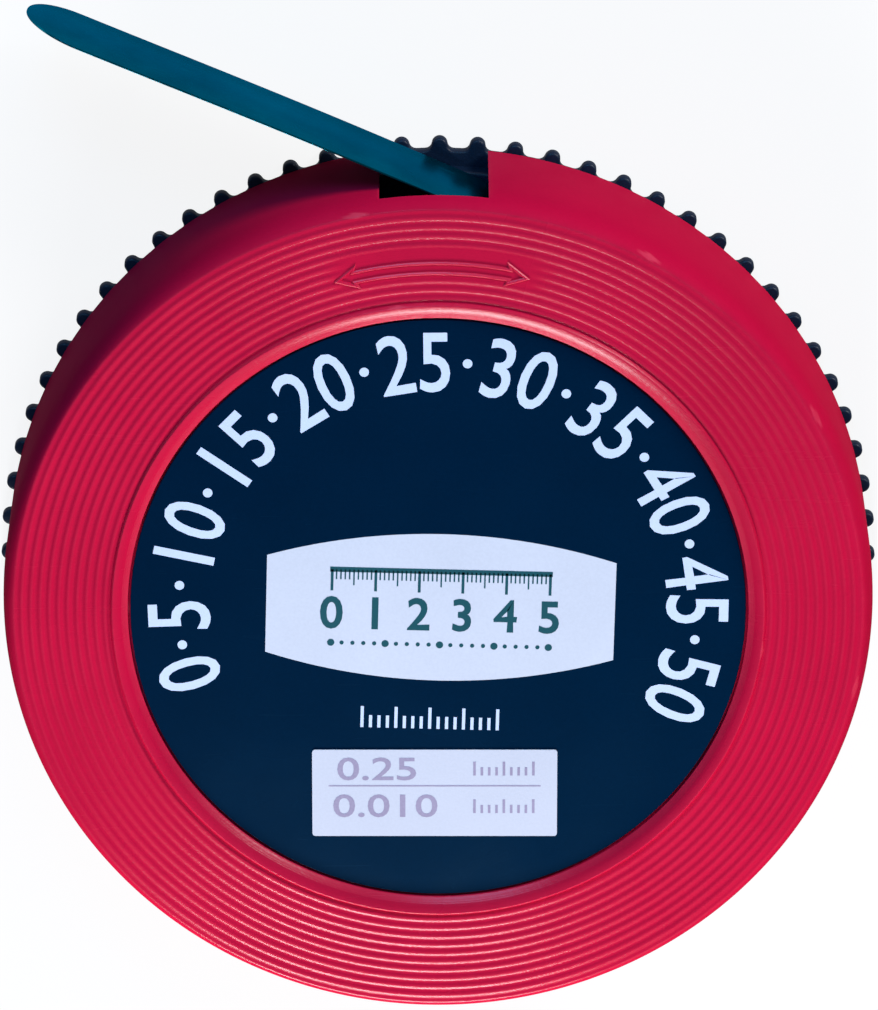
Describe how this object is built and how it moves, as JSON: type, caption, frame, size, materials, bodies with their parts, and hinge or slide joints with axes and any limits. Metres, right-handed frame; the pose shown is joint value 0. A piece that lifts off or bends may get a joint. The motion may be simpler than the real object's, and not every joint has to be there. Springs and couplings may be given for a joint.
{
  "type": "thickness tape roll in a dispenser",
  "caption": "Round plastic dispenser with a coil of thin steel thickness tape, wound by a knurled wheel behind, its round-tipped end out of a side window.",
  "frame": {"origin": "centre of the winding wheel's flat back, which the part lies on", "axes": "+Z along the wheel's axis, from the back to the label; +Y towards the tape window, +X to the right as the label is read"},
  "size_m": [0.1018, 0.12, 0.021],
  "materials": {
    "red_plastic": "glossy moulded plastic with fine turned rings",
    "black_plastic": "satin moulded plastic",
    "blued_steel": "blue tempered spring steel with fine rolled grain",
    "label_print": "printed plastic label",
    "white_sticker": "matt printed sticker"
  },
  "bodies": {
    "housing": {"housing": "red_plastic", "label_disc": "label_print", "thickness_sticker": "white_sticker"},
    "wheel": {"winding_wheel": "black_plastic", "tape_coil": "blued_steel"},
    "tape": {"tape_end": "blued_steel"}
  },
  "joints": [
    {"name": "wheel_turn", "type": "hinge", "parent": "housing", "child": "wheel", "pos_m": [0, 0, 0], "axis": [0, 0, 1], "range_deg": [-17.9, 12.8]},
    {"name": "tape_feed", "type": "slide", "parent": "housing", "child": "tape", "axis": [-0.9171, 0.3987, 0], "range_m": [-0.014, 0.01]}
  ],
  "couplings": [
    {"joint": "tape_feed", "follows": "wheel_turn", "m_per_rad": 0.04474}
  ]
}
